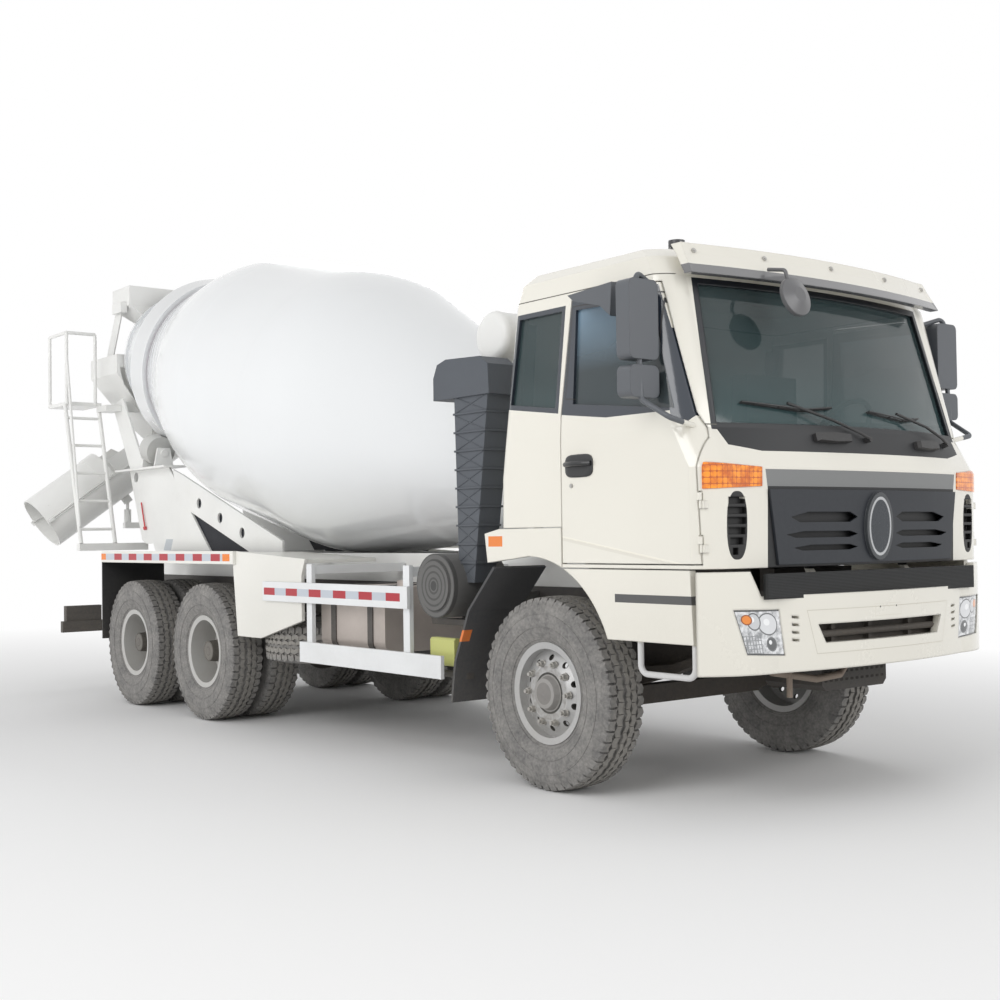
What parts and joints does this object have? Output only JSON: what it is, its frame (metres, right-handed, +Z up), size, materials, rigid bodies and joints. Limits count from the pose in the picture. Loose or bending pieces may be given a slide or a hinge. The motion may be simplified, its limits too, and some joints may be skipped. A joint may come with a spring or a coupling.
{
  "type": "concrete mixer truck",
  "caption": "Concrete mixer truck with tilting cab, opening doors, steering, rolling wheels, turning drum and swinging, tilting, folding discharge chute.",
  "frame": {"origin": "on the ground, in the middle of the truck's overall length and width", "axes": "+X forward in the direction of travel, +Y to the truck's left, +Z up"},
  "size_m": [9.4195, 2.8, 3.96],
  "materials": {
    "cab_paint": "gloss ivory paint",
    "drum_paint": "gloss white paint",
    "chassis_paint": "satin dark paint",
    "trim_plastic": "dark moulded plastic",
    "glass": "tinted glass",
    "lamp_glass": "clear lamp lens",
    "amber_lens": "amber lamp lens",
    "tyre": "dusty rubber",
    "rubber": "rubber sheet",
    "rim_paint": "dusty silver paint",
    "axle_paint": "dark cast iron",
    "engine_metal": "painted iron",
    "tank_metal": "dull aluminium",
    "seat_fabric": "woven seat cover"
  },
  "bodies": {
    "chassis": {"frame_rails": "chassis_paint", "subframe": "chassis_paint", "front_axle": "axle_paint", "drive_axles": "axle_paint", "engine": "engine_metal", "front_bumper": "cab_paint", "headlamps": "lamp_glass", "fuel_tank": "tank_metal", "spare_wheel": "tyre", "air_intake": "trim_plastic", "battery_box": "chassis_paint", "silencer": "chassis_paint", "rear_pedestal": "drum_paint", "drum_drive": "drum_paint", "water_tank": "drum_paint", "hopper": "drum_paint", "ladder": "drum_paint", "underrun_bar": "chassis_paint", "chute_post": "axle_paint", "front_flaps": "rubber", "rear_mudguards": "cab_paint", "side_guards": "drum_paint"},
    "cab": {"cab_shell": "cab_paint", "cab_glass": "glass", "grille": "trim_plastic", "sun_visor": "cab_paint", "interior": "seat_fabric", "front_fenders": "cab_paint", "turn_lamps": "amber_lens"},
    "door_left": {"door_left": "cab_paint", "door_glass_left": "glass"},
    "door_right": {"door_right": "cab_paint", "door_glass_right": "glass"},
    "knuckle_left": {"knuckle_left": "axle_paint"},
    "knuckle_right": {"knuckle_right": "axle_paint"},
    "front_wheel_left": {"front_wheel_left": "rim_paint", "front_tyre_left": "tyre"},
    "front_wheel_right": {"front_wheel_right": "rim_paint", "front_tyre_right": "tyre"},
    "mid_wheel_left": {"mid_wheel_left": "rim_paint", "mid_tyre_left": "tyre"},
    "mid_wheel_right": {"mid_wheel_right": "rim_paint", "mid_tyre_right": "tyre"},
    "rear_wheel_left": {"rear_wheel_left": "rim_paint", "rear_tyre_left": "tyre"},
    "rear_wheel_right": {"rear_wheel_right": "rim_paint", "rear_tyre_right": "tyre"},
    "drum": {"drum": "drum_paint"},
    "roller_left": {"roller_left": "axle_paint"},
    "roller_right": {"roller_right": "axle_paint"},
    "chute_swivel": {"chute_swivel": "axle_paint"},
    "chute_main": {"chute_main": "drum_paint"},
    "chute_extension": {"chute_extension": "drum_paint"}
  },
  "joints": [
    {"name": "cab_tilt", "type": "hinge", "parent": "chassis", "child": "cab", "pos_m": [4.595, 0, 1.14], "axis": [0, 1, 0], "range_deg": [0, 45]},
    {"name": "door_left_hinge", "type": "hinge", "parent": "cab", "child": "door_left", "pos_m": [4.48, 1.166, 1.5], "axis": [0, 0, -1], "range_deg": [0, 68]},
    {"name": "door_right_hinge", "type": "hinge", "parent": "cab", "child": "door_right", "pos_m": [4.48, -1.166, 1.5], "axis": [0, 0, 1], "range_deg": [0, 68]},
    {"name": "steer_left", "type": "hinge", "parent": "chassis", "child": "knuckle_left", "pos_m": [3.23, 0.85, 0.5425], "axis": [0, 0, 1], "range_deg": [-35, 35]},
    {"name": "steer_right", "type": "hinge", "parent": "chassis", "child": "knuckle_right", "pos_m": [3.23, -0.85, 0.5425], "axis": [0, 0, 1], "range_deg": [-35, 35]},
    {"name": "front_wheel_left_roll", "type": "hinge", "parent": "knuckle_left", "child": "front_wheel_left", "pos_m": [3.23, 0.995, 0.5425], "axis": [0, 1, 0], "continuous": true},
    {"name": "front_wheel_right_roll", "type": "hinge", "parent": "knuckle_right", "child": "front_wheel_right", "pos_m": [3.23, -0.995, 0.5425], "axis": [0, 1, 0], "continuous": true},
    {"name": "mid_wheel_left_roll", "type": "hinge", "parent": "chassis", "child": "mid_wheel_left", "pos_m": [-0.88, 1.073, 0.5425], "axis": [0, 1, 0], "continuous": true},
    {"name": "mid_wheel_right_roll", "type": "hinge", "parent": "chassis", "child": "mid_wheel_right", "pos_m": [-0.88, -1.073, 0.5425], "axis": [0, 1, 0], "continuous": true},
    {"name": "rear_wheel_left_roll", "type": "hinge", "parent": "chassis", "child": "rear_wheel_left", "pos_m": [-2.23, 1.073, 0.5425], "axis": [0, 1, 0], "continuous": true},
    {"name": "rear_wheel_right_roll", "type": "hinge", "parent": "chassis", "child": "rear_wheel_right", "pos_m": [-2.23, -1.073, 0.5425], "axis": [0, 1, 0], "continuous": true},
    {"name": "drum_spin", "type": "hinge", "parent": "chassis", "child": "drum", "pos_m": [2.285, 0, 1.84], "axis": [-0.9724, 0, 0.2334], "continuous": true},
    {"name": "roller_left_spin", "type": "hinge", "parent": "chassis", "child": "roller_left", "pos_m": [-3.09792, 0.57128, 2.29327], "axis": [-0.9724, 0, 0.2334], "continuous": true},
    {"name": "roller_right_spin", "type": "hinge", "parent": "chassis", "child": "roller_right", "pos_m": [-3.09792, -0.57128, 2.29327], "axis": [-0.9724, 0, 0.2334], "continuous": true},
    {"name": "chute_swing", "type": "hinge", "parent": "chassis", "child": "chute_swivel", "pos_m": [-4.27, 0, 1.61], "axis": [0, 0, -1], "range_deg": [0, 170]},
    {"name": "chute_tilt", "type": "hinge", "parent": "chute_swivel", "child": "chute_main", "pos_m": [-4.27, 0, 2.06], "axis": [-0.9962, 0.0872, 0], "range_deg": [0, 25]},
    {"name": "chute_flip", "type": "hinge", "parent": "chute_main", "child": "chute_extension", "pos_m": [-4.37826, -1.23741, 1.62601], "axis": [0.9962, -0.0872, 0], "range_deg": [0, 180]}
  ],
  "couplings": [
    {"joint": "steer_right", "follows": "steer_left", "ratio": 1},
    {"joint": "roller_left_spin", "follows": "drum_spin", "ratio": -6.1071},
    {"joint": "roller_right_spin", "follows": "drum_spin", "ratio": -6.1071}
  ]
}
